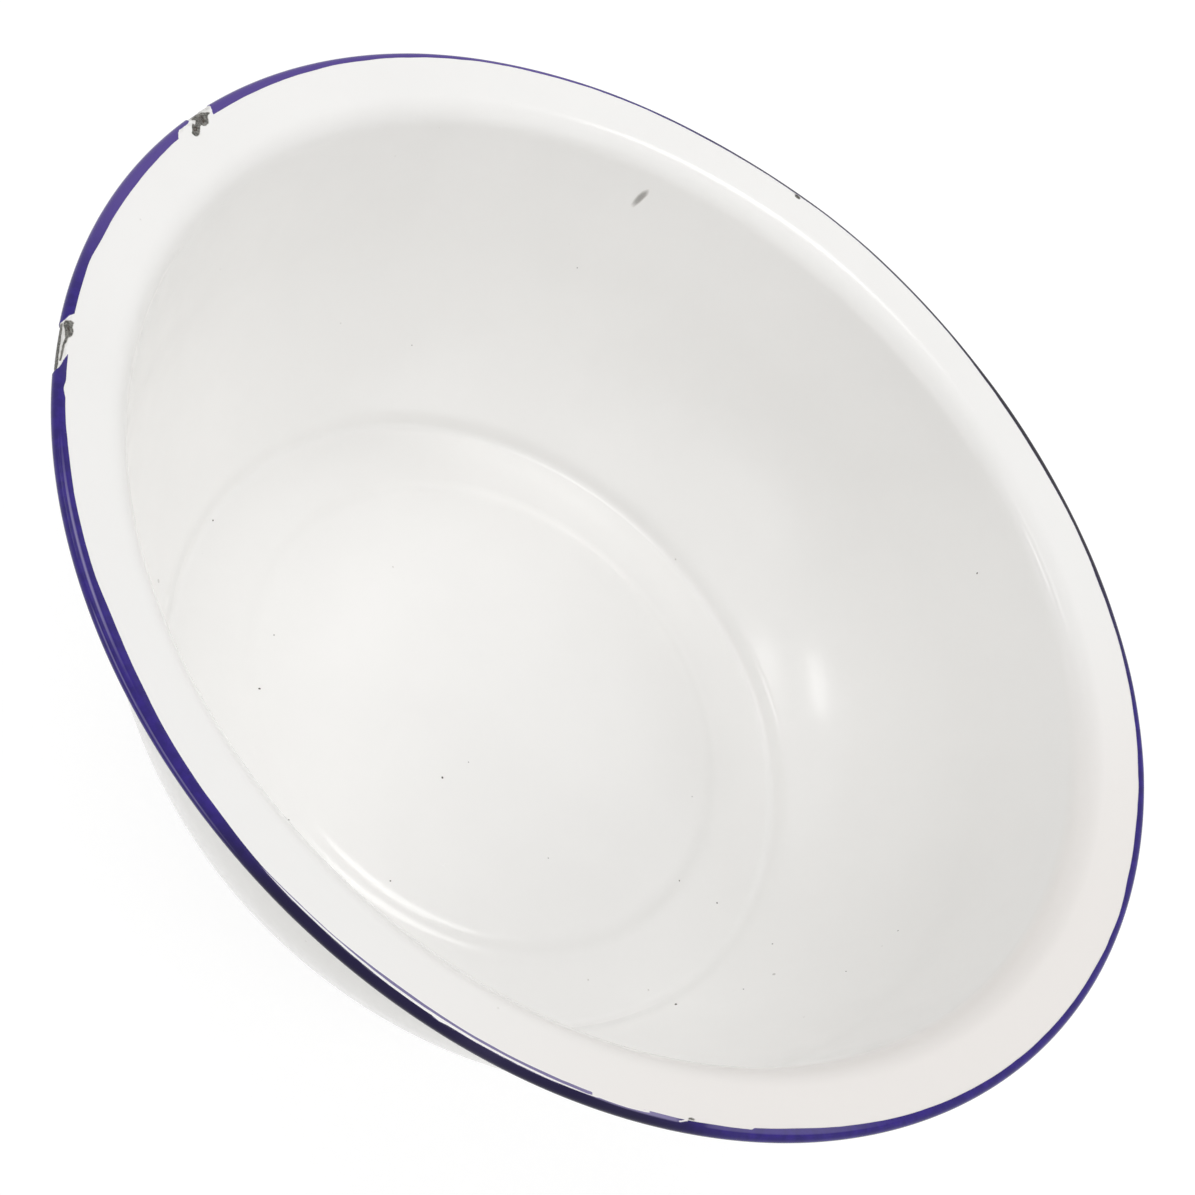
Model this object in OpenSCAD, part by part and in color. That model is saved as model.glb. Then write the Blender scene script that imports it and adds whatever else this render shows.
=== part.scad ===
// Enamel wash basin. A steel sheet is drawn into a bowl and its edge is curled under into a hollow
// bead. Both faces carry a dark ground coat, white enamel lies over it inside and outside, and a
// blue enamel band covers the bead. Origin at the middle of the plane it stands on, +Z up.
// Sizes are in millimetres and degrees. Radii of bends are those of the middle of the steel.

/* [Overall] */
// Diameter over the rim bead
rim_d = 400; // [370:1:430]
// Height from the plane it stands on to the top of the bead
height = 131.6; // [115:0.2:150]

/* [Foot] */
// Outer diameter of the flat ring that the basin stands on
foot_d = 247; // [220:1:265]
// Width of that ring, from its outer edge to the raised middle panel
ring_w = 22.5; // [14:0.5:34]
// How far the middle panel stands above the ring
panel_rise = 1.2; // [0.4:0.1:2.4]
// Radius of the two soft bends at the panel's edge
panel_edge_r = 17; // [8:0.5:24]
// Height of the short steep step between the foot ring and the belly
step_h = 6.7; // [5.4:0.1:9]
// Slope of that step
step_angle = 58; // [50:1:68]
// Radius of the hollow bend at the bottom of the step
fillet_r = 3.2; // [2:0.1:5]
// Radius of the shoulder at the top of the step
shoulder_r = 3.4; // [2:0.1:5]

/* [Wall] */
// Slope of the belly where it leaves the shoulder
belly_angle = 43; // [38:0.5:48]
// Length of the straight upper wall, up to its corner with the flange
wall_l = 53; // [40:1:64]
// Radius of the soft fold that rounds that corner
fold_r = 11.2; // [6:0.1:16]

/* [Flange] */
// Width of the flange along its slope, from that corner to the bead
flange_w = 20.3; // [16:0.1:28]
// Slope of the flange, rising outwards
flange_slope = 15; // [8:0.5:20]
// Width of the blue enamel on the flange, inside the bead
band_w = 0.8; // [0.4:0.1:2]

/* [Rim bead] */
// Diameter of the finished bead, enamel included
bead_d = 4.2; // [4:0.1:6]
// Gap left between the curl's raw edge and the underside of the flange
curl_gap = 0.2; // [0.1:0.05:0.4]

/* [Sheet and coats] */
// Thickness of the steel sheet
steel_t = 0.7; // [0.5:0.05:0.8]
// Thickness of the dark ground coat
ground_t = 0.15; // [0.12:0.01:0.16]
// Thickness of the white enamel
white_t = 0.25; // [0.2:0.01:0.3]
// Thickness of the blue enamel
blue_t = 0.2; // [0.15:0.01:0.25]

/* [Smoothness] */
// Widest gap between a bend and the flats that stand for it
chord_gap = 0.01; // [0.005:0.001:0.05]

/* [Hidden] */
// Sides of the quick view's full turn; the basin itself is round
turn_fn = 120;

// Distances from the middle of the steel to the face of each coat
steel_face = steel_t / 2;
ground_face = steel_face + ground_t;
white_face = ground_face + white_t;
blue_face = white_face + blue_t;

// The section is drawn as the sheet's course from the middle of the floor outwards. Each step of a
// course is [length, 0] for a straight or [radius, turn] for a bend, and a place on it is
// [distance from the axis, height, heading]
panel_middle = [0, white_face + panel_rise, 0];

// Foot: the panel's edge is a pair of equal and opposite bends, and the straight of the step fills
// what its two bends leave of its height
panel_edge_angle = acos(1 - panel_rise / (2 * panel_edge_r));
panel_edge_w = 2 * panel_edge_r * sin(panel_edge_angle);
panel_flat = foot_d / 2 - ring_w - panel_edge_w;
step_bends_h = fillet_r * (1 - cos(step_angle)) + shoulder_r * (cos(belly_angle) - cos(step_angle));
step_flat = (step_h - step_bends_h) / sin(step_angle);
foot_course = [
    [panel_flat, 0], [panel_edge_r, -panel_edge_angle], [panel_edge_r, panel_edge_angle],
    [ring_w, 0], [fillet_r, step_angle], [step_flat, 0], [shoulder_r, belly_angle - step_angle]
];

// Rim: the middle of the curl, the point where the flange runs into it, and how far it turns until
// its raw edge comes within curl_gap of the flange
curl_r = bead_d / 2 - blue_face;
curl_middle = [rim_d / 2 - bead_d / 2, height - bead_d / 2];
curl_turn = 270 + asin((curl_r - white_face - curl_gap) / (bead_d / 2));
flange_way = [cos(flange_slope), sin(flange_slope)];
flange_end = curl_middle + curl_r * [-sin(flange_slope), cos(flange_slope)];
corner = flange_end - flange_w * flange_way;

// Belly: one bend leads from the shoulder into the straight wall. The slopes at its two ends meet
// at a point equally far from both, and that distance, its arm, follows from where the corner lies
shoulder = end_of(foot_course, panel_middle);
belly_way = [cos(belly_angle), sin(belly_angle)];
reach = corner - [shoulder[0], shoulder[1]];
belly_arm = (reach * reach - wall_l * wall_l) / (2 * (wall_l + reach * belly_way));
wall_way = reach - belly_arm * belly_way;
wall_angle = atan2(wall_way[1], wall_way[0]);
belly_r = belly_arm / tan((wall_angle - belly_angle) / 2);

// Fold: a bend that takes the same arm off the wall and off the flange
fold_arm = fold_r * tan((wall_angle - flange_slope) / 2);

// The places along three stretches: the bowl up to the blue band, the band on the flange, the curl
bowl_course = concat(foot_course, [
    [belly_r, wall_angle - belly_angle], [wall_l - fold_arm, 0],
    [fold_r, flange_slope - wall_angle], [flange_w - fold_arm - band_w, 0]
]);
bowl = trace(bowl_course, [panel_middle]);
band = trace([[band_w, 0]], [last(bowl)]);
curl = trace([[curl_r, -curl_turn]], [last(band)]);
bowl_and_flange = concat(bowl, tail(band));
whole_sheet = concat(bowl_and_flange, tail(curl));

function last(list) = list[len(list) - 1];
function tail(list) = [for (k = [1:1:len(list) - 1]) list[k]];
function turned_round(list) = [for (k = [len(list) - 1:-1:0]) list[k]];

// Where one step leads from a place; a bend with a negative turn curves down and under
function move(place, step) = step[1] == 0 ? go_straight(place, step[0]) : go_round(place, step);
function go_straight(place, length) = [
    place[0] + length * cos(place[2]),
    place[1] + length * sin(place[2]),
    place[2]
];
function go_round(place, step) =
    let (r = step[0] * sign(step[1]), heading = place[2] + step[1])
    [
        place[0] + r * (sin(heading) - sin(place[2])),
        place[1] + r * (cos(place[2]) - cos(heading)),
        heading
    ];
function end_of(course, place, i = 0) =
    i == len(course) ? place : end_of(course, move(place, course[i]), i + 1);

// The places along a course: the end of each straight, and enough of them round each bend
function flats(step) = ceil(abs(step[1]) / (2 * acos(1 - chord_gap / step[0])));
function along(place, step) =
    step[1] == 0
        ? [move(place, step)]
        : let (n = flats(step)) [for (k = [1:n]) move(place, [step[0], step[1] * k / n])];
function trace(course, places, i = 0) =
    i == len(course) ? places : trace(course, concat(places, along(last(places), course[i])), i + 1);

// The line of a face: the places moved square to the sheet, towards the inside of the bowl and the
// outside of the bead where the distance is positive
function face(places, distance) = [
    for (p = places) [p[0] - distance * sin(p[2]), p[1] + distance * cos(p[2])]
];

// One layer of the sheet, between two of its faces, in one full turn round the axis
module layer(places, under, over) {
    rotate_extrude($fn = turn_fn)
        polygon(concat(face(places, under), turned_round(face(places, over))));
}

// Deep-drawn steel bowl with its edge curled outwards and under
module steel_pressing() {
    color([0.32, 0.32, 0.34])
        layer(whole_sheet, -steel_face, steel_face);
}

// Dark ground coat inside, over the flange and round the bead
module inner_ground_coat() {
    color([0.16, 0.17, 0.2])
        layer(whole_sheet, steel_face, ground_face);
}

// Dark ground coat outside, from the base up to the mouth of the curl
module outer_ground_coat() {
    color([0.16, 0.17, 0.2])
        layer(bowl_and_flange, -ground_face, -steel_face);
}

// White enamel inside, over the flange and, under the blue, round the bead
module inner_white_enamel() {
    color([0.95, 0.95, 0.93])
        layer(whole_sheet, ground_face, white_face);
}

// White enamel outside and underneath; its flat ring is what the basin stands on
module outer_white_enamel() {
    color([0.93, 0.93, 0.9])
        layer(bowl_and_flange, -white_face, -ground_face);
}

// Blue enamel band round the bead, with a narrow edge on the flange
module blue_rim_enamel() {
    color([0.2, 0.14, 0.48])
        layer(concat(band, tail(curl)), white_face, blue_face);
}

steel_pressing();
inner_ground_coat();
outer_ground_coat();
inner_white_enamel();
outer_white_enamel();
blue_rim_enamel();
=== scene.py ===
import math

import bpy
import numpy as np
from mathutils import Matrix, Vector


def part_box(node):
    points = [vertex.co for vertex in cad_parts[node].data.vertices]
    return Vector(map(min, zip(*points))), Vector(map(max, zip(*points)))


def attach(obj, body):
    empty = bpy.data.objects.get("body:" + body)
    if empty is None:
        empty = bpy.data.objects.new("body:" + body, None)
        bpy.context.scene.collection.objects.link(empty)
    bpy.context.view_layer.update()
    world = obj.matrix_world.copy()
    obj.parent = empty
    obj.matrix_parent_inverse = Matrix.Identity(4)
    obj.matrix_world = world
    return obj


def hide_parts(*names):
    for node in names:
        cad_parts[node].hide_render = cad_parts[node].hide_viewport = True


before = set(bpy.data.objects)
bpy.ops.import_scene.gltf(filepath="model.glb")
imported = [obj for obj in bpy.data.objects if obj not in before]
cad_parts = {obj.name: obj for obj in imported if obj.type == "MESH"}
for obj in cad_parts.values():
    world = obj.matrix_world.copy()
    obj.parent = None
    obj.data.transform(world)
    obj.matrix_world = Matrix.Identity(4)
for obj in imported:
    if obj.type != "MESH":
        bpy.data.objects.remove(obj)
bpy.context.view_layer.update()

# Steel pressing: one sheet of thin low-carbon steel, deep-drawn into the bowl, with its edge curled
# outwards and under into a hollow bead. Every coat below follows the same course of the sheet, and
# the steel itself shows only at the bottom of the deepest chips. Sizes here are in millimetres.
mm = 0.001
# how far each coat's face lies from the middle of the steel
steel_face, ground_face, white_face, blue_face = 0.35, 0.5, 0.75, 0.95
foot_r, ring_w, panel_rise, panel_edge_r = 122.72, 21.72, 1.2, 17.0
step_h, step_angle, fillet_r, shoulder_r = 7.635, math.radians(58), 4.6, 14.0
belly_angle, wall_l, fold_r = math.radians(43), 53.0, 11.2
flange_w, flange_slope, bead_r = 20.3, math.radians(15), 2.1
curl_gap = 0.2
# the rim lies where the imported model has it
rim_low, rim_high = (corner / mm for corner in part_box("blue_rim_enamel"))
rim_r = min(-rim_low.x, -rim_low.y, rim_high.x, rim_high.y)
height = rim_high.z

# the same course as the pressing's section, with rounder bends at the step, where the glass fills
# them: straights as (length, 0) and bends as (radius, turn)
curl_r = bead_r - blue_face
curl_turn = math.radians(270) + math.asin((curl_r - white_face - curl_gap) / bead_r)
panel_turn = math.acos(1 - panel_rise / (2 * panel_edge_r))
panel_flat = foot_r - ring_w - 2 * panel_edge_r * math.sin(panel_turn)
step_bends_h = (fillet_r * (1 - math.cos(step_angle))
                + shoulder_r * (math.cos(belly_angle) - math.cos(step_angle)))
step_flat = (step_h - step_bends_h) / math.sin(step_angle)
foot_course = [(panel_flat, 0), (panel_edge_r, -panel_turn), (panel_edge_r, panel_turn), (ring_w, 0),
               (fillet_r, step_angle), (step_flat, 0), (shoulder_r, belly_angle - step_angle)]


def move(place, length, turn):
    """The place [distance from the axis, height, heading] at the end of a straight or a bend."""
    r, z, heading = place
    if turn == 0:
        return r + length * math.cos(heading), z + length * math.sin(heading), heading
    radius = math.copysign(length, turn)
    return (r + radius * (math.sin(heading + turn) - math.sin(heading)),
            z + radius * (math.cos(heading) - math.cos(heading + turn)), heading + turn)


shoulder = (0.0, white_face + panel_rise, 0.0)
for length, turn in foot_course:
    shoulder = move(shoulder, length, turn)
# the belly is one bend from the shoulder into the wall: it takes the same arm off the slopes at its
# two ends, and that arm follows from where the wall meets the flange
slope_way = np.array([math.cos(flange_slope), math.sin(flange_slope)])
flange_end = (np.array([rim_r - bead_r, height - bead_r])
              + curl_r * np.array([-math.sin(flange_slope), math.cos(flange_slope)]))
reach = flange_end - flange_w * slope_way - np.array(shoulder[:2])
belly_way = np.array([math.cos(belly_angle), math.sin(belly_angle)])
belly_arm = (reach @ reach - wall_l ** 2) / (2 * (wall_l + reach @ belly_way))
wall_angle = math.atan2(*(reach - belly_arm * belly_way)[::-1])
belly_r = belly_arm / math.tan((wall_angle - belly_angle) / 2)
fold_arm = fold_r * math.tan((wall_angle - flange_slope) / 2)
course = foot_course + [(belly_r, wall_angle - belly_angle), (wall_l - fold_arm, 0),
                        (fold_r, flange_slope - wall_angle), (flange_w - fold_arm, 0),
                        (curl_r, -curl_turn)]

marks, starts, curves = [0.0], [(0.0, white_face + panel_rise, 0.0)], []
for length, turn in course:
    marks.append(marks[-1] + (length * abs(turn) if turn else length))
    starts.append(move(starts[-1], length, turn))
    curves.append(math.copysign(1 / length, turn) if turn else 0.0)
marks, starts, curves = np.array(marks), np.array(starts), np.array(curves)
bead_start, sheet_end = marks[-2], marks[-1]
fold_start, flange_start = marks[9], marks[10]


def sheet(s):
    """Distance from the axis, height and heading of the middle of the steel, s along its course."""
    k = np.clip(np.searchsorted(marks, s, side="right") - 1, 0, len(course) - 1)
    (r, z, start), curve, run = starts[k].T, curves[k].T, (s - marks[k]).T
    bent = np.where(curve == 0, 1.0, curve)
    heading = start + curve * run
    r = r + np.where(curve == 0, run * np.cos(start), (np.sin(heading) - np.sin(start)) / bent)
    z = z + np.where(curve == 0, run * np.sin(start), (np.cos(start) - np.cos(heading)) / bent)
    return r.T, z.T, heading.T


def along_rim(across):
    """Course distance for a place given in mm from the bead's start over its outer face."""
    return bead_start + np.where(across > 0, across * curl_r / bead_r, across)


def ease(x, low, high):
    """Smooth step from 0 at low to 1 at high, or down to high where that is the smaller."""
    t = np.clip((np.asarray(x, float) - low) / (high - low), 0, 1)
    return t * t * (3 - 2 * t)


full_turn = 360.0


def lumps(az, y, around, size, seed):
    """Smooth random number from -1 to 1: so many lumps round the full turn, and lumps of that size
    along y."""
    repeat = 64
    table = np.random.default_rng(seed).uniform(-1, 1, (around, repeat))
    x, y = np.asarray(az) / full_turn * around, np.asarray(y) / size
    i, j = np.floor(x).astype(int), np.floor(y).astype(int)
    u, v = ease(x - i, 0, 1), ease(y - j, 0, 1)
    low = table[i % around, j % repeat] * (1 - u) + table[(i + 1) % around, j % repeat] * u
    high = table[i % around, (j + 1) % repeat] * (1 - u) + table[(i + 1) % around, (j + 1) % repeat] * u
    return low * (1 - v) + high * v


# the flats knocked into the rim, as (azimuth, mm pushed in); they begin so far along the course
rim_flat_from = 236.0
rim_flats = np.array([
    (0, 0.02), (24, 0.1), (30, 0.42), (36, 0.65), (42, 1.22), (48, 1.5), (54, 1.8), (60, 2.0), (66, 1.95),
    (72, 1.78), (78, 1.76), (84, 1.38), (90, 0.95), (96, 0.48), (102, 0.5), (108, 1.06), (114, 1.4),
    (120, 1.45), (126, 1.2), (132, 0.93), (138, 0.85), (144, 0.65), (150, 0.33), (156, 0.08), (162, 0.04),
    (340, 0.02), (360, 0.02)])
# slack in the sheet: waves as (mm, how many in a turn, phase, phase gained per mm of course), lumps as
# (mm, how many in a turn, mm along, seed), and the stretches of the course where slack comes or goes
slack_waves = [(0.10, 2, 1.1, 0.0), (0.07, 5, 0.4, 1 / 60)]
slack_lumps = [(0.05, 17, 34.0, 3), (0.03, 41, 16.0, 4)]
panel_slack_share, middle_ease, panel_ease, wall_ease = 0.9, (0, 25), (60, 88), (140, 190)


def points(az, s, off):
    """Places in metres on a face of the sheet: az in degrees round the axis, s along the course and
    off square to the steel. The press and the kiln leave the bowl a little uneven: slack on the
    panel and the wall, and two long flats knocked into the rim. The foot ring stays true."""
    az, s, off = np.broadcast_arrays(np.asarray(az, float), np.asarray(s, float), off)
    turn = np.radians(az)
    slack = sum(size * lumps(az, s, *lump) for size, *lump in slack_lumps)
    for size, count, phase, gain in slack_waves:
        slack = slack + size * np.sin(count * turn + phase + s * gain)
    loose = ((1 - ease(s, *panel_ease)) * panel_slack_share
             + ease(s, *wall_ease) * (1 - ease(s, fold_start, bead_start)))
    r, z, heading = sheet(s)
    off = off + slack * loose * ease(s, *middle_ease)
    r, z = r - off * np.sin(heading), z + off * np.cos(heading)
    flat = np.interp(az % full_turn, rim_flats[:, 0], rim_flats[:, 1])
    r = r - flat * ease(s, rim_flat_from, bead_start)
    return np.stack([r * np.cos(turn), r * np.sin(turn), z], -1) * mm


# past the end of a turn, how near is the same place, and the bend from which an edge is sharp
past_turn, touching, sharp_from = 999.0, 1e-6, math.radians(42)


class Coat:
    """A closed layer of the sheet, built ring by ring; a ring is a list of (azimuth, point)."""

    def __init__(self):
        self.places, self.faces, self.left = [], [], []

    def add(self, az, s, off, left=1.0):
        """Adds points and returns the number of the first."""
        first = len(self.places)
        places = points(az, s, off).reshape(-1, 3)
        self.places.extend(map(tuple, places))
        self.left.extend(np.broadcast_to(left, np.shape(np.asarray(az) + np.asarray(s))).ravel())
        return first

    def ring(self, az, s, off):
        """A ring of points at one distance along the course."""
        first = self.add(az, np.full(len(az), s), off)
        return [(a, first + k) for k, a in enumerate(az)]

    def centre(self, off):
        """The one point in the middle of the floor, as a ring."""
        return [(0.0, self.add([0.0], [0.0], off))]

    def join(self, a, b):
        """Faces between two rings, the second further along the way they are laid."""
        i, j = 0, 0
        while i < len(a) or j < len(b):
            next_a = a[i + 1][0] if i + 1 < len(a) else full_turn if i < len(a) else past_turn
            next_b = b[j + 1][0] if j + 1 < len(b) else full_turn if j < len(b) else past_turn
            here_a, here_b = a[i % len(a)][1], b[j % len(b)][1]
            step_a = next_a <= next_b + touching and len(a) > 1
            step_b = next_b <= next_a + touching and len(b) > 1
            i, j = i + step_a, j + step_b
            ends = [here_a, here_b]
            if step_b:
                ends.append(b[j % len(b)][1])
            if step_a:
                ends.append(a[i % len(a)][1])
            self.faces.append(tuple(ends))
            if len(a) == 1 and j == len(b) or len(b) == 1 and i == len(a):
                break

    def rings(self, az, distances, off, last=None):
        """A run of rings, each joined to the one before; returns the last."""
        for s in distances:
            ring = self.ring(az, float(s), off)
            if last:
                self.join(last, ring)
            last = ring
        return last

    def cells(self, az, s, over, under, keep, left):
        """Both faces of the layer over a patch of rows and columns, cut to where keep is above zero,
        which feathers to nothing there. Returns the patch's first and last rings on each face."""
        rows, columns = s.shape
        spread = np.broadcast_to(az, s.shape)
        first_over = self.add(spread, s, over, left)
        low = points(spread, s, under)
        first_under = self.add(spread, s, under, left)
        same = (over - under) < touching
        cuts, least_share = {}, 0.06

        def number(k, i, top):
            """The point of a corner on one face; where the faces meet they share it."""
            flat = k * columns + i % columns
            return (first_over if top or same[k, i % columns] else first_under) + flat

        def cut(k, i, kk, ii):
            """The point where the patch's edge crosses between two corners."""
            key = tuple(sorted([(k, i % columns), (kk, ii % columns)]))
            if key not in cuts:
                (k0, i0), (k1, i1) = key
                share = keep[k0, i0] / (keep[k0, i0] - keep[k1, i1])
                share = min(max(share, least_share), 1 - least_share)
                cuts[key] = len(self.places)
                self.places.append(tuple(low[k0, i0] * (1 - share) + low[k1, i1] * share))
                self.left.append(0.0)
            return cuts[key]

        whole = keep > 0
        for k in range(rows - 1):
            for i in range(columns):
                corners = [(k, i), (k + 1, i), (k + 1, i + 1), (k, i + 1)]
                kept = [whole[p, q % columns] for p, q in corners]
                if not any(kept):
                    continue
                for top in (True, False):
                    face = []
                    for n, (p, q) in enumerate(corners):
                        if kept[n]:
                            face.append(number(p, q, top))
                        if kept[n] != kept[(n + 1) % 4]:
                            face.append(cut(p, q, *corners[(n + 1) % 4]))
                    face = face if top else face[::-1]
                    self.faces.append(tuple(face))

        def edge(k, top):
            """A row of the patch as a ring."""
            return [(float(az[i]), number(k, i, top)) for i in range(columns)]

        return edge(0, True), edge(0, False), edge(rows - 1, True), edge(rows - 1, False)

    def piece(self, name, finish, slot, node):
        """The finished piece: unused points dropped, shaded smooth, riding on the body."""
        used = sorted({p for face in self.faces for p in face})
        new = {p: k for k, p in enumerate(used)}
        mesh = bpy.data.meshes.new(name)
        mesh.from_pydata([self.places[p] for p in used], [],
                         [tuple(new[p] for p in face) for face in self.faces])
        mesh.attributes.new("coat_left", "FLOAT", "POINT").data.foreach_set(
            "value", [float(self.left[p]) for p in used])
        mesh.shade_smooth()
        mesh.set_sharp_from_angle(angle=sharp_from)
        mesh.materials.append(finish)
        piece = bpy.data.objects.new(name, mesh)
        bpy.context.scene.collection.objects.link(piece)
        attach(piece, "root")
        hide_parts(node)


def stations(counts):
    """Distances along the course up to the flange, with so many steps in each stretch."""
    steps = [np.linspace(marks[k], marks[k + 1], n, endpoint=False) for k, n in enumerate(counts)]
    return np.concatenate(steps)[1:]


def evenly(count, extra=()):
    """Columns round the full turn, closer together over each (from, to, step) of extra."""
    base = np.arange(count) * full_turn / count
    fine = [np.arange(a, b, step) for a, b, step in extra]
    for a, b, step in extra:
        base = base[(base < a - step / 2) | (base > b - step / 2)]
    return np.unique(np.round(np.concatenate([base] + fine), 4))


# steps in each stretch of the course up to the flange, for hidden faces and for those that show
hidden_steps = [4, 2, 2, 2, 5, 1, 2, 6, 3, 8]
shown_steps = [14, 6, 6, 5, 15, 3, 5, 24, 9, 28]
hidden_turn = 180
hidden_columns = evenly(hidden_turn)
# rows across the rim in mm from the bead's start: close ones where chips show, then wider ones
rim_rows_from, close_rows_to, rim_rows_to = -4.4, 3.4, 5.6
close_row_step, wide_rows, under_rows = 0.2, 6, 18
bead_under = bead_start + np.linspace(
    rim_rows_to * curl_r / bead_r, sheet_end - bead_start, under_rows)[1:]


def node(tree, kind, inputs=(), **settings):
    """A node with its settings, its inputs set to values or joined to other nodes' sockets."""
    made = tree.nodes.new("ShaderNode" + kind)
    for key, value in settings.items():
        setattr(made, key, value)
    for key, value in dict(inputs).items():
        if isinstance(value, bpy.types.NodeSocket):
            tree.links.new(value, made.inputs[key])
        else:
            made.inputs[key].default_value = value
    return made


def material(name):
    """A material with its shader, its output and the place on the piece in metres."""
    made = bpy.data.materials.new(name)
    made.use_nodes = True
    tree = made.node_tree
    return made, tree, tree.nodes["Principled BSDF"], node(tree, "TexCoord").outputs["Object"]


def effect(name, inputs, outputs):
    """A node group with named inputs and outputs."""
    tree = bpy.data.node_groups.new(name, "ShaderNodeTree")
    for label, kind, value in inputs:
        socket = tree.interface.new_socket(label, in_out="INPUT", socket_type="NodeSocket" + kind)
        if value is not None:
            socket.default_value = value
    for label, kind in outputs:
        tree.interface.new_socket(label, in_out="OUTPUT", socket_type="NodeSocket" + kind)
    return tree, tree.nodes.new("NodeGroupInput").outputs, tree.nodes.new("NodeGroupOutput").inputs


def place_effect(tree, group, inputs):
    """The outputs of an effect placed in a material with its own values."""
    return node(tree, "Group", inputs, node_tree=group).outputs


def clouds(tree, place, scale, detail=3.0, roughness=0.5):
    """Soft random cloud, so many to the metre."""
    return node(tree, "TexNoise", {"Vector": place, "Scale": scale, "Detail": detail,
                                   "Roughness": roughness}).outputs["Fac"]


def fade(tree, value, low, high, to_low=0.0, to_high=1.0):
    """Maps a range of a value onto another, smoothly and clamped."""
    return node(tree, "MapRange", {"Value": value, "From Min": low, "From Max": high,
                                   "To Min": to_low, "To Max": to_high},
                interpolation_type="SMOOTHSTEP").outputs["Result"]


def blend_colour(tree, factor, first, second):
    """The first colour where the factor is 0, the second where it is 1."""
    return node(tree, "Mix", {0: factor, 6: first, 7: second}, data_type="RGBA").outputs[2]


def combine(tree, kind, first, second):
    """A sum, product or other reckoning on two values."""
    return node(tree, "Math", {0: first, 1: second}, operation=kind).outputs["Value"]


def bumpy(tree, relief, depth):
    """The normal of a relief that runs from 0 to 1 over that depth in mm."""
    return node(tree, "Bump", {"Height": relief, "Distance": depth * mm, "Strength": 1.0}).outputs["Normal"]


# Rust blooms: spread of rust over bared or thinly covered metal, in small ragged blots
rust_bloom, has, gives = effect(
    "rust_bloom", [("Place", "Vector", None), ("Scale", "Float", 900.0), ("Spread", "Float", 0.5)],
    [("Mask", "Float"), ("Tone", "Float")])
blots = clouds(rust_bloom, has["Place"], has["Scale"], 6.0, 0.65)
spread = combine(rust_bloom, "ADD", blots, has["Spread"])
rust_bloom.links.new(fade(rust_bloom, spread, 0.92, 1.12), gives["Mask"])
rust_bloom.links.new(clouds(rust_bloom, has["Place"], 2600.0, 4.0), gives["Tone"])

metal_dark, metal_bright = (0.04, 0.037, 0.034, 1), (0.16, 0.15, 0.14, 1)
rust_dark, rust_brown = (0.035, 0.024, 0.017, 1), (0.10, 0.068, 0.045, 1)
bare_steel, tree, shader, place = material("bare_steel")
rust = place_effect(tree, rust_bloom, {"Place": place, "Scale": 700.0, "Spread": 0.46})
drawn = blend_colour(tree, fade(tree, clouds(tree, place, 1500.0), 0.35, 0.65), metal_dark, metal_bright)
rusty = blend_colour(tree, rust["Tone"], rust_dark, rust_brown)
tree.links.new(blend_colour(tree, rust["Mask"], drawn, rusty), shader.inputs["Base Color"])
tree.links.new(fade(tree, rust["Mask"], 0, 1, 0.75, 0.1), shader.inputs["Metallic"])
tree.links.new(fade(tree, rust["Mask"], 0, 1, 0.42, 0.85), shader.inputs["Roughness"])
tree.links.new(bumpy(tree, clouds(tree, place, 2200.0, 5.0), 0.12), shader.inputs["Normal"])

steel_flange_rows, steel_bead_rows = 7, 26
steel = Coat()
bead_steps = bead_start + np.linspace(0, sheet_end - bead_start, steel_bead_rows)
flange_steps = np.linspace(flange_start, bead_start, steel_flange_rows)[:-1]
there = np.concatenate([stations(hidden_steps), flange_steps, bead_steps])
outer_end = steel.rings(hidden_columns, there, steel_face, steel.centre(steel_face))
inner_end = steel.rings(hidden_columns, there[::-1], -steel_face, outer_end)
steel.join(inner_end, steel.centre(-steel_face))
steel.piece("pressed_steel_bowl", bare_steel, "steel", "steel_pressing")

# Ground coats: the dark first coat of glass, fired onto both faces of the bare pressing so that the
# white can hold. It shows as near-black pits where the rim has been knocked, and its own deepest
# chips bare the steel. Each chip below is an outline of (azimuth, mm across the rim) points.

# how long one degree is at the bead
rim_mm = math.radians(1) * (rim_r - bead_r)
steel_bared = [
    [(185.7, 0.5), (185.7, -0.5), (185.95, -1.7), (186.3, -1.9), (186.5, -1.0), (186.4, 0.2), (186.0, 0.9)],
    [(187.5, -0.9), (187.3, -2.0), (187.6, -2.6), (187.95, -2.3), (187.8, -1.5)],
    [(216.75, 0.5), (216.75, 0.0), (217.1, -0.5), (217.5, -0.3), (217.3, 0.1), (217.0, 0.5)],
]


def inside(outline, az, across):
    """How far in mm each place lies inside an outline, negative outside it."""
    x, y = np.asarray(az) * rim_mm, np.asarray(across, float)
    corners = [(a * rim_mm, b) for a, b in outline]
    nearest, within = np.full(np.shape(x + y), np.inf), np.zeros(np.shape(x + y), bool)
    for (x0, y0), (x1, y1) in zip(corners, corners[1:] + corners[:1]):
        run, rise = x1 - x0, y1 - y0
        share = np.clip(((x - x0) * run + (y - y0) * rise) / (run * run + rise * rise), 0, 1)
        nearest = np.minimum(nearest, np.hypot(x - x0 - share * run, y - y0 - share * rise))
        crosses = (y0 > y) != (y1 > y)
        within ^= crosses & (x < x0 + (y - y0) * run / (rise or 1.0))
    return np.where(within, nearest, -nearest)


def deepest(outlines, az, across):
    """How far in mm each place lies inside any of the outlines, negative outside them all."""
    return np.max([inside(outline, az, across) for outline in outlines], axis=0)


# what roughens an edge: lumps as (share, how many in a turn, mm along)
coarse_teeth, fine_teeth = (1.0, 1380, 0.9), (0.6, 3100, 0.4)


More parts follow.
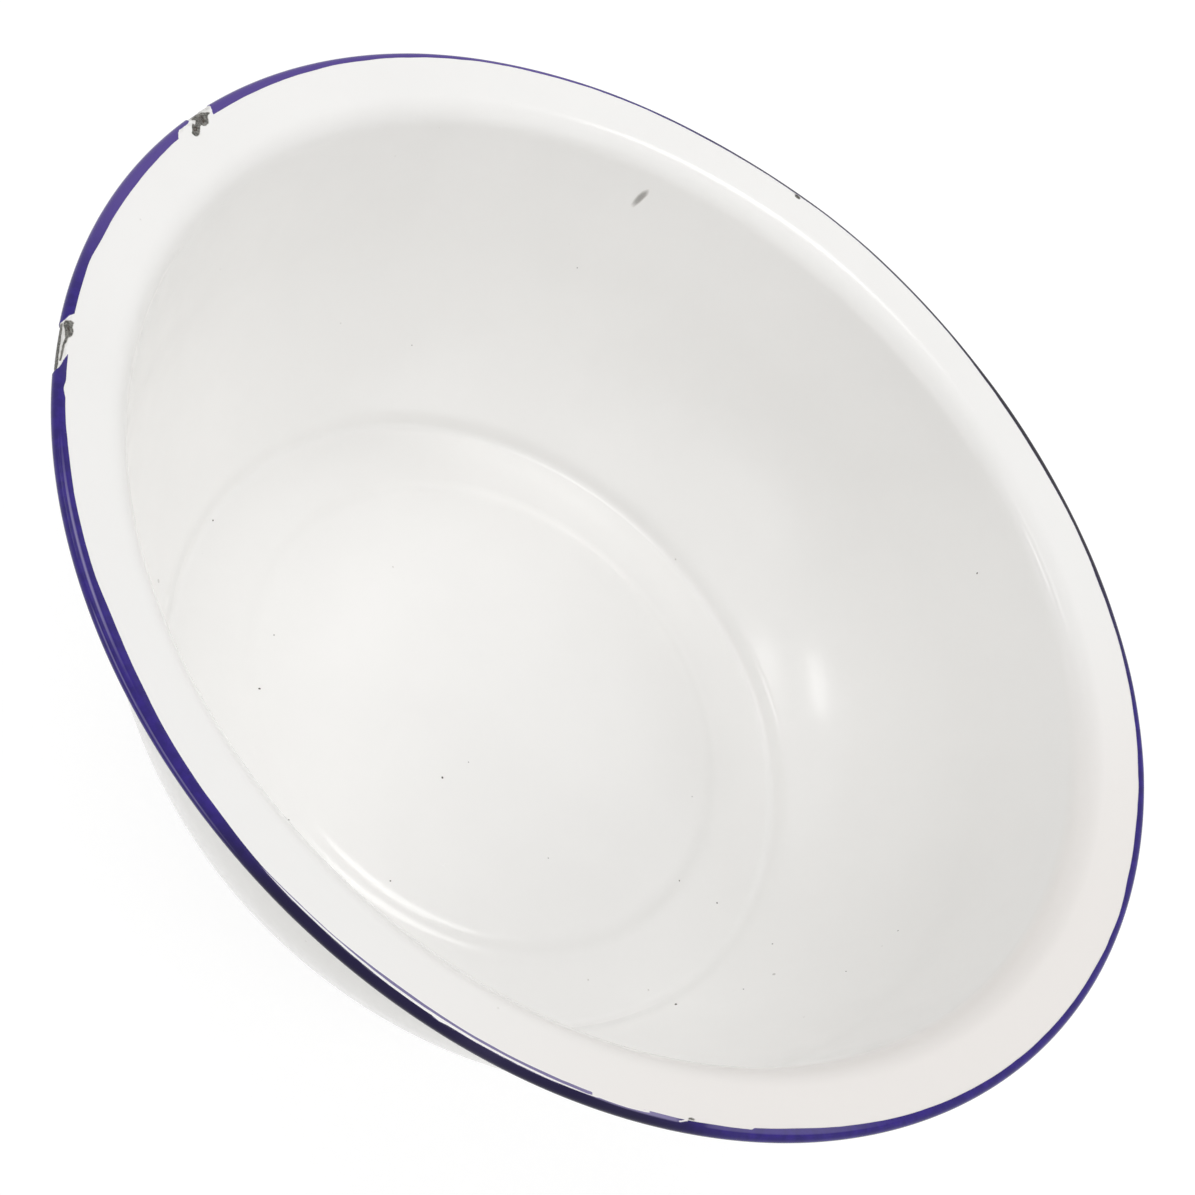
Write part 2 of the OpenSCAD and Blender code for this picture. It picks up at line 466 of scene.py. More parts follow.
def unchipped(outlines, az, across, ragged, seed):
    """How far in mm each place lies outside all the chips, whose edges are ragged by so much."""
    rough = 0
    for k, (share, count, size) in enumerate((coarse_teeth, fine_teeth)):
        rough = rough + share * lumps(az, across, count, size, seed + k)
    return ragged * rough - deepest(outlines, az, across)


# columns close together over the two large chips, as (from, to, step) in degrees
chip_columns = [(183.4, 191.0, 0.08), (214.8, 222.0, 0.08)]
chip_ragged = 0.1
rim_across = np.append(np.arange(rim_rows_from, close_rows_to - close_row_step / 2, close_row_step),
                       np.linspace(close_rows_to, rim_rows_to, wide_rows))


def rim_coat(coat, columns, over, under, chips, seed, ramp=0.16, lost=None):
    """The part of a coat on the flange and the bead, with its chips. It thins over the ramp, in mm,
    towards each chip, and lost gives the share of it that is gone elsewhere."""
    across = rim_across[:, None] + 0 * columns[None, :]
    around = 0 * across + columns[None, :]
    keep = unchipped(chips, around, across, chip_ragged, seed)
    left = np.clip(keep / ramp, 0, 1) * (1 - (lost(around, across) if lost else 0))
    return coat.cells(columns, along_rim(across), under + (over - under) * left,
                      np.full(across.shape, under), keep, left)


front_flange_steps, back_flange_rows = 3, 9


def covered_sheet(coat, shown, shown_columns, columns, over, under, chips, seed, **more):
    """A coat from the middle of the floor over the flange and round the bead to the raw edge."""
    near = np.linspace(flange_start, bead_start + rim_rows_from, front_flange_steps, endpoint=False)
    first_over, first_under, last_over, last_under = rim_coat(
        coat, columns, over, under, chips, seed, **more)
    up = coat.rings(shown_columns, np.concatenate([stations(shown), near]), over, coat.centre(over))
    coat.join(up, first_over)
    round_edge = coat.rings(hidden_columns, bead_under, over, last_over)
    back = coat.rings(hidden_columns, bead_under[::-1], under, round_edge)
    coat.join(back, last_under)
    hidden = np.concatenate([stations(hidden_steps), near])[::-1]
    down = coat.rings(hidden_columns, hidden, under, first_under)
    coat.join(down, coat.centre(under))


def back_coat(coat, shown, columns, over, under):
    """A coat of the outside, from under the floor up to the mouth of the curl."""
    flange = np.linspace(flange_start, bead_start, back_flange_rows)
    rows = np.concatenate([stations(shown), flange])
    up = coat.rings(hidden_columns, np.concatenate([stations(hidden_steps), flange]), over,
                    coat.centre(over))
    down = coat.rings(columns, rows[::-1], under, up)
    coat.join(down, coat.centre(under))


# Pits: small round bubbles burst in the glass
pits, has, gives = effect(
    "glass_pits", [("Place", "Vector", None), ("Scale", "Float", 300.0), ("Size", "Float", 0.1)],
    [("Mask", "Float")])
cell = node(pits, "TexVoronoi", {"Vector": has["Place"], "Scale": has["Scale"], "Randomness": 1.0})
sparse = node(pits, "TexWhiteNoise", {"Vector": cell.outputs["Position"]}).outputs["Value"]
small = combine(pits, "MULTIPLY", has["Size"], fade(pits, sparse, 0.55, 1.0))
dot = combine(pits, "SUBTRACT", small, cell.outputs["Distance"])
pits.links.new(fade(pits, dot, -0.02, 0.04), gives["Mask"])

glass_black, glass_grey = (0.05, 0.049, 0.042, 1), (0.24, 0.235, 0.215, 1)
rust_stain = (0.05, 0.03, 0.018, 1)
ground_glass, tree, shader, place = material("dark_ground_coat")
bubbles = place_effect(tree, pits, {"Place": place, "Scale": 1800.0, "Size": 0.35})["Mask"]
mottled = blend_colour(tree, fade(tree, clouds(tree, place, 1400.0, 5.0, 0.6), 0.38, 0.68),
                       glass_black, glass_grey)
rust = place_effect(tree, rust_bloom, {"Place": place, "Scale": 520.0, "Spread": 0.36})
tree.links.new(blend_colour(tree, rust["Mask"], mottled, rust_stain), shader.inputs["Base Color"])
tree.links.new(fade(tree, clouds(tree, place, 1300.0, 4.0), 0.3, 0.7, 0.3, 0.62),
               shader.inputs["Roughness"])
broken = combine(tree, "SUBTRACT", clouds(tree, place, 1600.0, 6.0, 0.6), bubbles)
tree.links.new(bumpy(tree, broken, 0.15), shader.inputs["Normal"])

inner_ground = Coat()
covered_sheet(inner_ground, hidden_steps, hidden_columns, evenly(hidden_turn, chip_columns), ground_face,
              steel_face, steel_bared, 21)
inner_ground.piece("dark_coat_inside", ground_glass, "inner_ground", "inner_ground_coat")
outer_ground = Coat()
back_coat(outer_ground, hidden_steps, hidden_columns, -steel_face, -ground_face)
outer_ground.piece("dark_coat_outside", ground_glass, "outer_ground", "outer_ground_coat")

# White enamel: the cover coat, an opaque white glass dipped over the dark one and fired till it
# runs smooth. Its gloss has the faint ripple of melted glass, and the knocks on the rim have
# broken it away down to the dark coat.

# outlines of what broke away: the white itself, the blue over it, which bares white, and white that
# was only grazed
white_broken = [
    [(184.8, -0.35), (185.2, -0.6), (185.45, -1.2), (185.65, -2.2), (185.9, -2.8), (186.3, -2.95),
     (186.55, -2.55), (186.7, -1.95), (186.95, -2.15), (187.15, -2.7), (187.45, -3.3), (187.85, -3.95),
     (188.15, -3.95), (188.35, -3.1), (188.4, -2.4), (188.05, -1.6), (187.8, -0.7), (187.5, -0.1),
     (187.35, -0.9), (187.1, -0.4), (186.9, 0.2), (187.2, 1.1), (187.1, 1.6), (186.2, 1.8), (185.6, 1.5),
     (185.3, 0.5)],
    [(216.25, -1.3), (216.5, -0.9), (216.8, -1.0), (217.1, -1.4), (217.4, -1.45), (217.8, -1.0),
     (218.05, -0.2), (218.45, -0.1), (218.85, 0.5), (219.7, 0.75), (220.6, 1.15), (220.6, 1.6),
     (219.6, 1.35), (218.7, 1.15), (218.3, 0.6), (217.9, 0.75), (217.4, 1.0), (217.1, 1.5),
     (216.95, 1.9), (216.6, 2.0), (216.35, 1.5), (216.35, 0.6), (216.2, -0.4)],
    [(216.6, 2.5), (217.2, 2.3), (218.2, 2.15), (219.2, 2.2), (220.2, 2.1), (221.0, 2.0),
     (221.4, 2.4), (221.6, 3.6), (221.4, 4.6), (220.6, 5.3), (217.0, 5.3), (216.6, 4.6)],
    [(185.5, 2.3), (186.2, 1.9), (187.0, 1.95), (187.7, 2.3), (187.7, 3.8), (185.5, 3.8)],
    [(305.1, -0.7), (305.2, -1.15), (305.45, -1.3), (305.65, -1.1), (305.6, -0.7)],
    [(106.1, -0.5), (106.2, -1.0), (106.5, -1.15), (106.85, -0.8), (106.9, 0.1), (106.6, 0.5),
     (106.2, 0.2)],
]
blue_broken = [
    [(184.75, -3.5), (184.65, -1.3), (184.45, 0.2), (184.15, 1.6), (184.0, 4.2), (187.4, 4.2),
     (187.5, 1.9), (187.6, 1.2), (187.9, 0.75), (188.6, 0.75), (189.3, 0.9), (189.75, 0.35),
     (190.0, -0.5), (190.3, -1.4), (190.5, -3.5)],
    [(215.3, -2.5), (215.35, -0.8), (215.8, 0.5), (216.25, 1.6), (216.5, 2.4), (216.6, 5.4),
     (221.3, 5.4), (221.7, 3.6), (221.5, 2.6), (221.35, 1.6), (220.9, 0.8), (220.2, 0.0), (219.75, -0.75),
     (219.6, -2.5)],
    [(304.1, 0.75), (304.3, 0.4), (304.6, 0.0), (304.85, -0.6), (304.8, -1.5), (305.05, -1.5),
     (305.05, -0.5), (304.95, 0.1), (304.6, 0.5), (304.3, 0.85)],
    [(106.0, -2.0), (106.1, 0.3), (106.5, 0.6), (106.95, 0.2), (107.0, -2.0)],
]
white_grazed = [
    [(216.7, 1.6), (217.6, 0.9), (218.6, 1.2), (220.6, 1.7), (221.0, 2.6), (219.0, 2.8), (216.9, 2.6)],
    [(184.5, 0.5), (185.2, 0.6), (185.5, 2.0), (185.3, 3.2), (184.2, 3.2), (184.3, 1.5)],
]


# the white under the two large chips of the blue: its lumps as (how many in a turn, mm along, seed),
# the mm over which the loss comes, and the share lost, as (the least, how much more at most)
torn_lumps, bared_ease, bared_across, grazed_ease = (1500, 0.8, 61), (-0.05, 0.35), (-1.2, 0.2), (-0.15, 0.25)
bared_share, grazed_share = (0.12, 0.3), (0.3, 0.2)


def under_blue_chips(around, across):
    """The share of the white that came off where the blue flaked from it, which leaves it rough."""
    rough = 0.5 + 0.5 * lumps(around, across, *torn_lumps)
    bared = ease(deepest(blue_broken[:2], around, across), *bared_ease) * ease(across, *bared_across)
    grazed = ease(deepest(white_grazed, around, across), *grazed_ease)
    return np.maximum(bared * (bared_share[0] + bared_share[1] * rough),
                      grazed * (grazed_share[0] + grazed_share[1] * rough))


# Fired ripple: the long soft swell and the finer orange peel of glass that has run
fired_ripple, has, gives = effect(
    "fired_ripple", [("Place", "Vector", None), ("Swell", "Float", 60.0), ("Peel", "Float", 420.0)],
    [("Height", "Float"), ("Tone", "Float")])
swell = clouds(fired_ripple, has["Place"], has["Swell"], 2.0)
peel = clouds(fired_ripple, has["Place"], has["Peel"], 2.0)
fired_ripple.links.new(
    node(fired_ripple, "Math", {0: peel, 1: 0.12, 2: swell}, operation="MULTIPLY_ADD").outputs["Value"],
    gives["Height"])
fired_ripple.links.new(clouds(fired_ripple, has["Place"], 14.0, 4.0, 0.55), gives["Tone"])

# Handling marks: hair-thin scuffs that dull the gloss, lying every way
scuffs, has, gives = effect(
    "hair_scuffs", [("Place", "Vector", None), ("Scale", "Float", 30.0)], [("Mask", "Float")])
bent_place = node(scuffs, "VectorMath", {0: has["Place"], 1: node(
    scuffs, "TexNoise", {"Vector": has["Place"], "Scale": 9.0}).outputs["Color"]}, operation="ADD")
lines = node(scuffs, "TexVoronoi", {"Vector": bent_place.outputs["Vector"], "Scale": has["Scale"]},
             feature="DISTANCE_TO_EDGE").outputs["Distance"]
broken_lines = fade(scuffs, clouds(scuffs, has["Place"], 38.0, 3.0), 0.52, 0.68)
scuffs.links.new(combine(scuffs, "MULTIPLY", fade(scuffs, lines, 0.006, 0.0), broken_lines),
                 gives["Mask"])

glass_ior = 1.52
pit_brown, broken_grey = (0.32, 0.29, 0.25, 1), (0.42, 0.41, 0.39, 1)
# painted shade: the white is tinted darker on the flange along one side: the way there, how far out that
# begins and is full, and the heights where the flange begins, all in metres
shade_way, shade_from, shade_full, flange_low, flange_high = (0.94, -0.34, 0.0), 0.06, 0.185, 0.117, 0.123


def towards(tree, place, way):
    """How far out a place lies along a way."""
    return node(tree, "VectorMath", {0: place, 1: way}, operation="DOT_PRODUCT").outputs["Value"]


def white_enamel(name, light, deep, thin, wear):
    """White glass: its tint, the deeper tint in its clouds, the darker tint of painted shade on the flange
    along one side, its wear.
    """
    made, tree, shader, place = material(name)
    ripple = place_effect(tree, fired_ripple, {"Place": place, "Swell": 55.0, "Peel": 380.0})
    tint = blend_colour(tree, fade(tree, ripple["Tone"], 0.35, 0.68), light, deep)
    dots = place_effect(tree, pits, {"Place": place, "Scale": 60.0, "Size": 0.017})["Mask"]
    tint = blend_colour(tree, dots, tint, pit_brown)
    # painted shade: the flange turns to the darker tint along one side
    shaded_side = fade(tree, towards(tree, place, shade_way), shade_from, shade_full)
    on_flange = fade(tree, towards(tree, place, (0, 0, 1)), flange_low, flange_high)
    tint = blend_colour(tree, combine(tree, "MULTIPLY", shaded_side, on_flange), tint, thin)
    coat_left = node(tree, "Attribute", attribute_name="coat_left").outputs["Fac"]
    broken_edge = fade(tree, coat_left, 0.9, 0.2)
    tint = blend_colour(tree, broken_edge, tint, broken_grey)
    tree.links.new(tint, shader.inputs["Base Color"])
    scuffed = place_effect(tree, scuffs, {"Place": place, "Scale": 26.0})["Mask"]
    rough = fade(tree, ripple["Tone"], 0.3, 0.7, 0.14, 0.18)
    rough = combine(tree, "ADD", combine(tree, "MULTIPLY", scuffed, wear), rough)
    rough = combine(tree, "ADD", rough, combine(tree, "MULTIPLY", broken_edge, 0.4))
    tree.links.new(rough, shader.inputs["Roughness"])
    relief = combine(tree, "SUBTRACT", ripple["Height"], combine(tree, "MULTIPLY", dots, 0.5))
    tree.links.new(bumpy(tree, relief, 0.06), shader.inputs["Normal"])
    shader.inputs["IOR"].default_value = glass_ior
    return made


# the third colour of each is the painted shade on the flange along one side
white_inside = white_enamel("white_enamel_inside", (0.892, 0.884, 0.868, 1), (0.876, 0.868, 0.852, 1),
                            (0.85, 0.818, 0.79, 1), 0.12)
white_outside = white_enamel("white_enamel_outside", (0.882, 0.873, 0.85, 1), (0.857, 0.847, 0.82, 1),
                             (0.85, 0.84, 0.82, 1), 0.2)

inner_turn, outer_turn = 300, 240
inner_white = Coat()
white_columns = evenly(inner_turn, chip_columns + [(304.9, 306.0, 0.1), (106.0, 107.0, 0.1)])
covered_sheet(inner_white, shown_steps, evenly(inner_turn), white_columns, white_face, ground_face,
              white_broken, 31, ramp=0.2, lost=under_blue_chips)
inner_white.piece("white_enamel_inside", white_inside, "inner_white", "inner_white_enamel")
outer_white = Coat()
back_coat(outer_white, shown_steps, evenly(outer_turn), -ground_face, -white_face)
outer_white.piece("white_enamel_outside", white_outside, "outer_white", "outer_white_enamel")

# Blue rim: a band of blue-violet enamel, wiped over the white round the bead by hand, so its edge
# on the flange wanders. It ends in a thin rounded lip, and it has flaked off with the chips.

# where its edge lies on the flange, as (azimuth, mm from the bead's start)
blue_edge = [
    (0, -0.3), (5, -0.2), (10, -0.85), (18, -0.95), (25, -0.85), (30, -0.6), (36, -0.5), (40, -0.35),
    (44, -0.45), (48, -0.65), (53, -0.4), (57, -0.35), (62, -0.6), (66, -0.75), (71, -0.65), (75, -0.45),
    (79, -0.1), (84, 0.2), (93, 0.25), (102, 0.4), (111, 0.35), (120, 0.2), (129, 0.35), (138, 0.25),
    (147, 0.25), (152, 0.0), (158, -0.3), (165, -0.5), (172, -1.0),
    (184, -1.5), (190, -1.1), (197, -1.3), (205, -1.2), (210, -0.5), (216, -0.7), (222.3, -0.8),
    (223.3, -0.25), (224.3, -0.85), (230, -1.25), (240, -1.4), (245, -2.1), (250, -1.8), (255, -1.0),
    (260, -0.65), (266, 0.0), (271, -0.4), (280, -0.9), (290, -0.7), (298, -0.6), (302, -0.3),
    (310.8, -0.2), (311.2, -0.8), (316, -0.9), (320, -0.7), (327, -0.3), (340, -0.15), (350, -0.3)]
blue_t, lip_w, blue_turn = blue_face - white_face, 0.3, 480
blue_columns = evenly(blue_turn, chip_columns + [(222.4, 224.4, 0.16), (303.9, 305.7, 0.08),
                                                 (310.4, 311.6, 0.12), (105.9, 107.1, 0.1)])
edge_az, edge_across = (np.array(values) for values in zip(*blue_edge))
edge_az = np.append(edge_az, full_turn)
edge_across = np.append(edge_across, edge_across[0])
k = np.clip(np.searchsorted(edge_az, blue_columns, side="right") - 1, 0, len(edge_az) - 2)
share = ease((blue_columns - edge_az[k]) / (edge_az[k + 1] - edge_az[k]), 0, 1)
edge_line = edge_across[k] * (1 - share) + edge_across[k + 1] * share
# the hand's small wander on it, as (mm, how many in a turn, seed)
for wander, count, seed in [(0.09, 150, 41), (0.05, 420, 42)]:
    edge_line = edge_line + wander * lumps(blue_columns, 0.3, count, 1.0, seed)
# rows from the edge inwards, close together over the lip
steps = np.array([0, 0.03, 0.09, 0.17, 0.3, 0.46, 0.64, 0.84, 1.04, 1.24, 1.44, 1.64, 1.84, 2.04, 2.24,
                  2.44, 2.64, 2.84, 3.04, 3.26, 3.5, 3.76, 4.06, 4.4])
across = edge_line + (rim_rows_to - edge_line) * (steps / steps[-1])[:, None]
around = 0 * across + blue_columns
from_edge = across - edge_line
lip = np.sqrt(np.clip(1 - (1 - np.clip(from_edge / lip_w, 0, 1)) ** 2, 0, 1))
# painted highlight: the blue is left out along one thin line on the near bead, so that the white shows there
# as a highlight
highlight_gap = [
    [(266.5, 0.35), (268.5, 0.05), (270.5, -0.08), (274.0, -0.16), (278.0, -0.02), (283.0, 0.0),
     (288.0, 0.08), (293.0, 0.25), (297.5, 0.48), (297.5, 0.62), (293.0, 0.78), (288.0, 0.76),
     (283.8, 0.78), (283.7, 1.1), (283.35, 1.1), (283.25, 0.8), (278.0, 0.7), (274.0, 0.5),
     (270.5, 0.48), (268.5, 0.48)],
]
highlight_gap_ragged, blue_ramp = 0.05, 0.14
keep = np.minimum(unchipped(blue_broken, around, across, chip_ragged, 51),
                  unchipped(highlight_gap, around, across, highlight_gap_ragged, 53))
# painted highlight: the blue is made thin and pale along the edge, as (how thin, azimuths where that comes,
# and goes, mm from the bead's start), and in streaks on the bead, as (how thin, comes, goes, width, its
# line); the streak near the bead's top is a painted highlight, the one further round it a thin pale line
highlight_thin_edges = [(0.72, (265.5, 269), (297, 304.5), (0.75, 0.3)),
              (0.75, (295, 299), (303.8, 304.6), (1.3, 0.7)),
              (0.35, (306, 307), (318, 330), (1.4, 0.8))]
highlight_and_thin_streaks = [(0.7, (241, 245), (258, 268), 0.26, ([244, 252, 262, 268], [2.55, 2.65, 3.0, 3.1])),
                (0.95, (224, 238), (240, 254), 0.36, ([226, 250], [0.75, 1.05]))]
highlight_and_thin_glaze = np.zeros(across.shape)
for how_thin, comes, goes, out in highlight_thin_edges:
    highlight_and_thin_glaze += how_thin * ease(around, *comes) * (1 - ease(around, *goes)) * ease(across, *out)
for how_thin, comes, goes, width, line in highlight_and_thin_streaks:
    beside = (across - np.interp(around, *line)) / width
    highlight_and_thin_glaze += how_thin * ease(around, *comes) * (1 - ease(around, *goes)) * np.exp(-beside ** 2)
left = np.clip(keep / blue_ramp, 0, 1) * lip * (1 - highlight_and_thin_glaze)

blue_dark, blue_bright = (0.020, 0.009, 0.148, 1), (0.029, 0.013, 0.205, 1)
blue_thin_and_highlight, blue_mirror = (0.26, 0.23, 0.42, 1), 0.22
# painted light and shade in the blue: it is painted lighter towards azimuth 170 as light, greyer towards
# azimuth 80, and nearly black towards azimuth 285 as painted shade: the way there, how far out it begins and
# is full, the colour
blue_painted_light_sides = [((-0.985, 0.17, 0.0), 0.140, 0.174, (0.088, 0.055, 0.27, 1)),
              ((0.174, 0.985, 0.0), 0.120, 0.178, (0.030, 0.026, 0.036, 1)),
              ((0.26, -0.966, 0.0), 0.178, 0.193, (0.006, 0.002, 0.038, 1))]
glaze, tree, shader, place = material("blue_rim_enamel")
ripple = place_effect(tree, fired_ripple, {"Place": place, "Swell": 140.0, "Peel": 900.0})
coat_left = node(tree, "Attribute", attribute_name="coat_left").outputs["Fac"]
deep = blend_colour(tree, fade(tree, clouds(tree, place, 260.0, 5.0, 0.6), 0.36, 0.66),
                    blue_dark, blue_bright)
# painted light and shade: the blue's colour is swapped towards each side's colour
for way, begins, full, colour in blue_painted_light_sides:
    deep = blend_colour(tree, fade(tree, towards(tree, place, way), begins, full), deep, colour)
# the pale thin colour shows at real thin edges and chips, and also at the painted highlights on the bead,
# through coat_left
thin = combine(tree, "ADD", fade(tree, coat_left, 0.95, 0.1, 0.0, 0.85),
               fade(tree, ripple["Tone"], 0.5, 0.8, 0.0, 0.10))
tree.links.new(blend_colour(tree, thin, deep, blue_thin_and_highlight), shader.inputs["Base Color"])
bubbles = place_effect(tree, pits, {"Place": place, "Scale": 500.0, "Size": 0.10})["Mask"]
tree.links.new(fade(tree, ripple["Tone"], 0.3, 0.7, 0.1, 0.16), shader.inputs["Roughness"])
relief = combine(tree, "SUBTRACT", ripple["Height"], bubbles)
tree.links.new(bumpy(tree, relief, 0.06), shader.inputs["Normal"])
shader.inputs["IOR"].default_value = glass_ior
shader.inputs["Specular IOR Level"].default_value = blue_mirror

blue = Coat()
*_, over_end, under_end = blue.cells(blue_columns, along_rim(across), white_face + blue_t * left,
                                    np.full(across.shape, white_face), keep, left)
outer = blue.rings(hidden_columns, bead_under, blue_face, over_end)
inner = blue.rings(hidden_columns, bead_under[::-1], white_face, outer)
blue.join(inner, under_end)
blue.piece("blue_rim_band", glaze, "blue_rim", "blue_rim_enamel")

# Specks in the white: grains of iron and kiln dust that melted into the surface of the inside, seen
# as small dark points, each a low blister of dark glass. A grey graze lies high on the far wall.

# each as (azimuth, mm along the course, size in mm, how dark)
specks_at = [
    (228.8, 93.2, 1.0, 1.0), (277.8, 42.3, 1.0, 1.0), (281.3, 90.2, 0.7, 0.9), (339.8, 133.4, 1.2, 1.0),
    (194.8, 123.5, 0.9, 1.0), (214.3, 87.9, 0.6, 0.8), (24.3, 88.4, 0.6, 0.8), (327.5, 63.5, 0.6, 0.8),
    (1.3, 96.6, 0.7, 0.9), (4.0, 113.8, 0.8, 0.9), (257.8, 101.2, 0.6, 0.8), (286.8, 29.9, 0.6, 0.8),
    (349.3, 146.5, 0.7, 0.9), (0.5, 143.1, 0.7, 0.8), (4.5, 191.3, 0.7, 0.8), (356.8, 178.9, 0.7, 0.8),
    (214.0, 139.6, 1.7, 0.28), (354.25, 151.9, 1.5, 0.35), (54.8, 234.8, 0.9, 1.0), (147.0, 159.3, 0.6, 0.8),
    (126.5, 207.5, 0.6, 0.8)]
# rings of a blister from its edge inwards, as (share of its size, mm above the white, share of its dark)
blister = [(1.0, -0.015, 0.2), (0.95, 0.012, 0.35), (0.75, 0.03, 0.9), (0.45, 0.045, 1.0)]
graze = [(1.0, -0.02, 0.0), (0.985, 0.018, 0.0), (0.95, 0.022, 0.0), (0.85, 0.024, 0.2),
         (0.7, 0.026, 0.5), (0.5, 0.028, 0.9), (0.25, 0.03, 1.0)]
# the graze: azimuth, mm along the course, length and width in mm, tilt, how dark
graze_at = (124.2, 246.8, 12.0, 3.6, math.radians(103), 0.62)
# a speck's corners, how uneven they are, and its width as a share of its length
sides, speck_uneven, speck_width = 12, (0.85, 1.15), (0.7, 1.0)
grain_black, grain_brown = (0.03, 0.026, 0.022, 1), (0.11, 0.09, 0.07, 1)
white_round_grain = (0.876, 0.863, 0.842, 1)
speck_glass, tree, shader, place = material("iron_speck")
dark = blend_colour(tree, clouds(tree, place, 1900.0), grain_black, grain_brown)
melted_in = node(tree, "Attribute", attribute_name="melted_in").outputs["Fac"]
tree.links.new(blend_colour(tree, melted_in, white_round_grain, dark), shader.inputs["Base Color"])
tree.links.new(fade(tree, clouds(tree, place, 2600.0), 0.3, 0.7, 0.15, 0.3), shader.inputs["Roughness"])
speck_points, speck_faces, speck_dark = [], [], []
chance = np.random.default_rng(71)


def speck(az, s, long, wide, tilt, darkness, rings):
    """A low uneven mound on the white, closed underneath."""
    first, radius = len(speck_points), float(sheet(np.array([s]))[0][0])
    uneven = chance.uniform(*speck_uneven, sides)
    for share, lift, tone in rings:
        for k in range(sides):
            angle = 2 * math.pi * k / sides
            x = long / 2 * share * uneven[k] * math.cos(angle)
            y = wide / 2 * share * uneven[k] * math.sin(angle)
            x, y = x * math.cos(tilt) - y * math.sin(tilt), x * math.sin(tilt) + y * math.cos(tilt)
            speck_points.append(tuple(points(az + math.degrees(x / radius), s + y, white_face + lift)))
            speck_dark.append(darkness * tone)
    for start in range(first, len(speck_points) - sides, sides):
        for k in range(sides):
            a, b = start + k, start + (k + 1) % sides
            speck_faces.append((b, a, a + sides, b + sides))
    speck_faces.append(tuple(len(speck_points) - 1 - k for k in range(sides)))
    speck_faces.append(tuple(first + k for k in range(sides)))


for az, s, size, darkness in specks_at:
    speck(az, s, size, size * chance.uniform(*speck_width), chance.uniform(0, math.pi), darkness, blister)
speck(*graze_at, graze)
mesh = bpy.data.meshes.new("iron_specks")
mesh.from_pydata(speck_points, [], speck_faces)
mesh.attributes.new("melted_in", "FLOAT", "POINT").data.foreach_set("value", speck_dark)
mesh.shade_smooth()
mesh.materials.append(speck_glass)
specks = bpy.data.objects.new("iron_specks", mesh)
bpy.context.scene.collection.objects.link(specks)
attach(specks, "root")

# Studio: a plain pale floor that reads white and keeps a soft shadow, an even white surround, a soft
# light overhead, a long one and a low one on the left, and broad fills that no glass mirrors.
floor_half = 6
floor_mesh = bpy.data.meshes.new("floor")
floor_mesh.from_pydata([(x * floor_half, y * floor_half, 0) for x, y in ((-1, -1), (1, -1), (1, 1), (-1, 1))],
                       [], [(0, 1, 2, 3)])
floor = bpy.data.objects.new("floor", floor_mesh)
bpy.context.scene.collection.objects.link(floor)


def in_view(tree):
    """1 for what the camera, a mirroring face or clear glass sees, 0 for what lights the bowl."""
    ray = node(tree, "LightPath").outputs
    seen = combine(tree, "MAXIMUM", ray["Is Camera Ray"], ray["Is Glossy Ray"])
    return combine(tree, "MAXIMUM", seen, ray["Is Transmission Ray"])


# the floor throws pale light back on the bowl, and seen itself it is white but for the shadow
floor_lights, floor_seen, floor_glow = (0.86, 0.86, 0.86, 1), (0.16, 0.16, 0.16, 1), 0.88
paper, tree, shader, _ = material("pale_paper")
shader.inputs["Roughness"].default_value = 0.9
seen = in_view(tree)
tree.links.new(blend_colour(tree, seen, floor_lights, floor_seen), shader.inputs["Base Color"])
shader.inputs["Emission Color"].default_value = (1, 1, 1, 1)
tree.links.new(combine(tree, "MULTIPLY", seen, floor_glow), shader.inputs["Emission Strength"])
floor_mesh.materials.append(paper)

world = bpy.data.worlds.new("surround")
bpy.context.scene.world = world
world.use_nodes = True
tree = world.node_tree
sky, sky_light = tree.nodes["Background"], 0.12
sky.inputs["Color"].default_value = (1, 1, 1, 1)
tree.links.new(fade(tree, in_view(tree), 0, 1, sky_light, 1.0), sky.inputs["Strength"])
# in metres: how far the lights stand from the middle of the bowl, and the sides of a fill
light_distance, bowl_middle, fill_size = 1.6, Vector((0, 0, 0.08)), 0.8


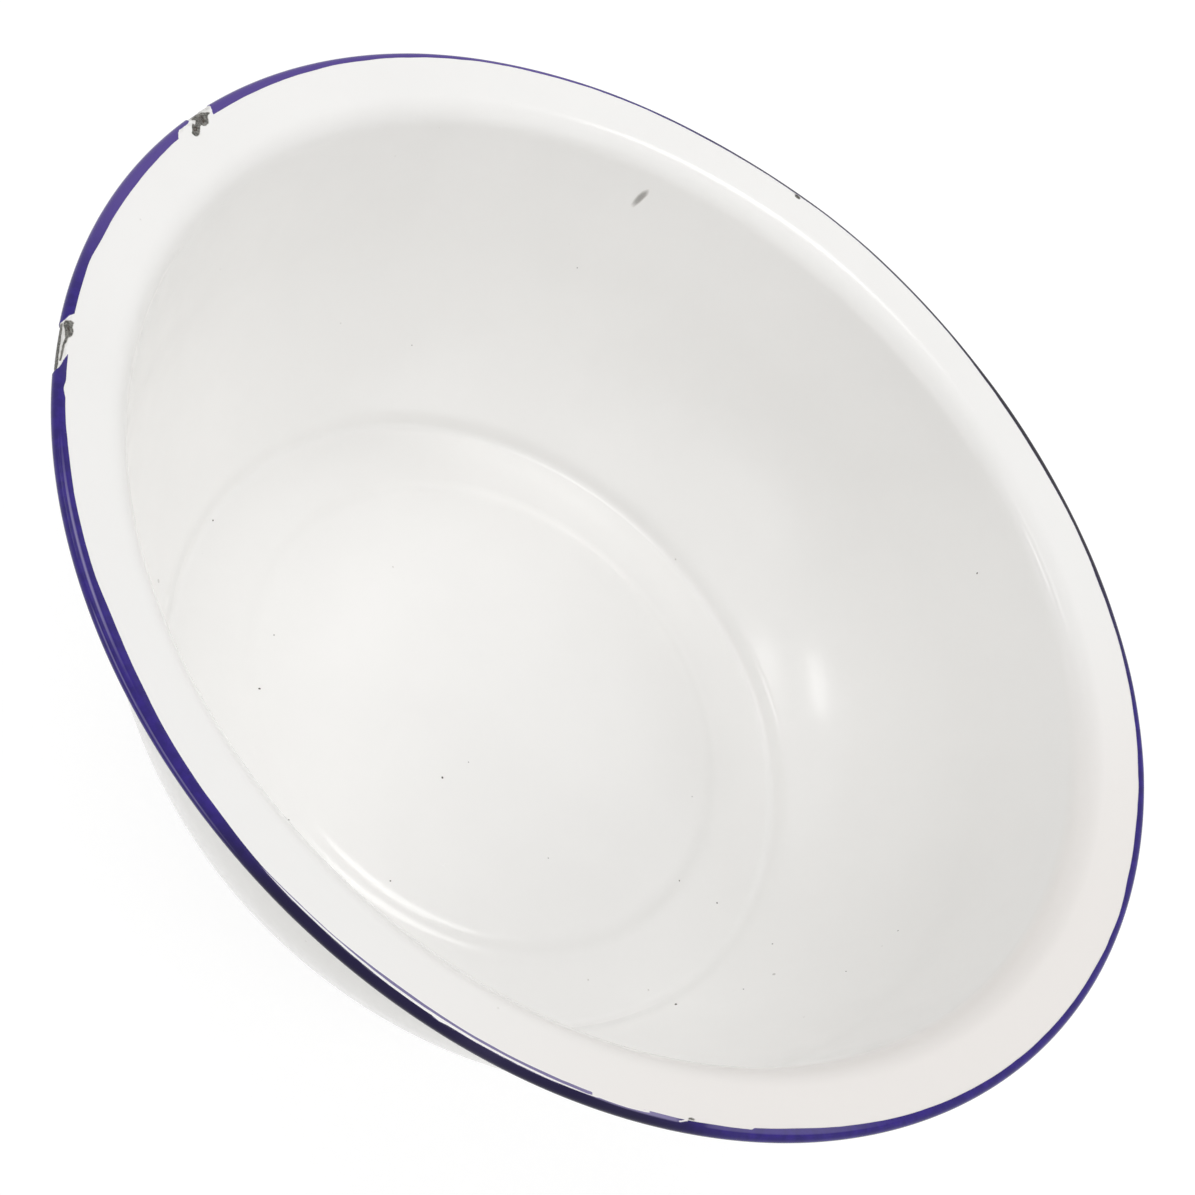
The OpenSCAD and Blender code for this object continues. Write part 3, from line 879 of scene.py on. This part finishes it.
def soft_light(name, azimuth, elevation, width, depth, power):
    """A rectangular light that looks at the bowl from that direction."""
    lamp = bpy.data.lights.new(name, "AREA")
    lamp.shape, lamp.size, lamp.size_y, lamp.energy = "RECTANGLE", width, depth, power
    made = bpy.data.objects.new(name, lamp)
    bpy.context.scene.collection.objects.link(made)
    a, e = math.radians(azimuth), math.radians(elevation)
    back = Vector((math.cos(a) * math.cos(e), math.sin(a) * math.cos(e), math.sin(e)))
    made.location = back * light_distance + bowl_middle
    made.rotation_mode = "QUATERNION"
    made.rotation_quaternion = back.to_track_quat("Z", "Y")
    return made


soft_light("overhead_light", 71, 71.5, 0.4, 0.42, 2.3)
soft_light("left_window", -159, 45, 0.8, 0.15, 0.9)
soft_light("left_light", -155.5, 28, 0.38, 0.12, 0.75)
fills = [("right_fill", 0, 32, 8.6), ("left_fill", 180, 57, 7.3), ("near_left_fill", 215, 60, 1.0),
         ("near_low_fill", 256, 14, 5.4), ("near_right_fill", 300, 40, 2.2), ("far_fill", 82, 34, 4.0),
         ("top_fill", 0, 88, 3.6)]
for name, azimuth, elevation, power in fills:
    soft_light(name, azimuth, elevation, fill_size, fill_size, power).visible_glossy = False

# Camera: as the basin was seen, from above its near side, with the picture turned on the view axis.
# Its focal length is given in pixels of a picture 1195 pixels wide.
eye, target, roll = Vector((0, -0.4351, 0.5262)), Vector((-0.00014, -0.0469, 0.1295)), math.radians(44.71)
ahead = (target - eye).normalized()
level = ahead.cross(Vector((0, 0, 1))).normalized()
upright = level.cross(ahead)
right = level * math.cos(roll) + upright * math.sin(roll)
top = upright * math.cos(roll) - level * math.sin(roll)
camera = bpy.data.objects.new("camera", bpy.data.cameras.new("camera"))
sensor, focal_pixels, picture_pixels = 36.0, 1808, 1195
camera.data.sensor_width, camera.data.lens = sensor, sensor * focal_pixels / picture_pixels
camera.data.clip_start = 0.01
turned = Matrix((right, top, -ahead)).transposed().to_4x4()
camera.matrix_world = Matrix.Translation(eye) @ turned
bpy.context.scene.collection.objects.link(camera)
bpy.context.scene.camera = camera
bpy.context.scene.view_settings.view_transform = "Standard"
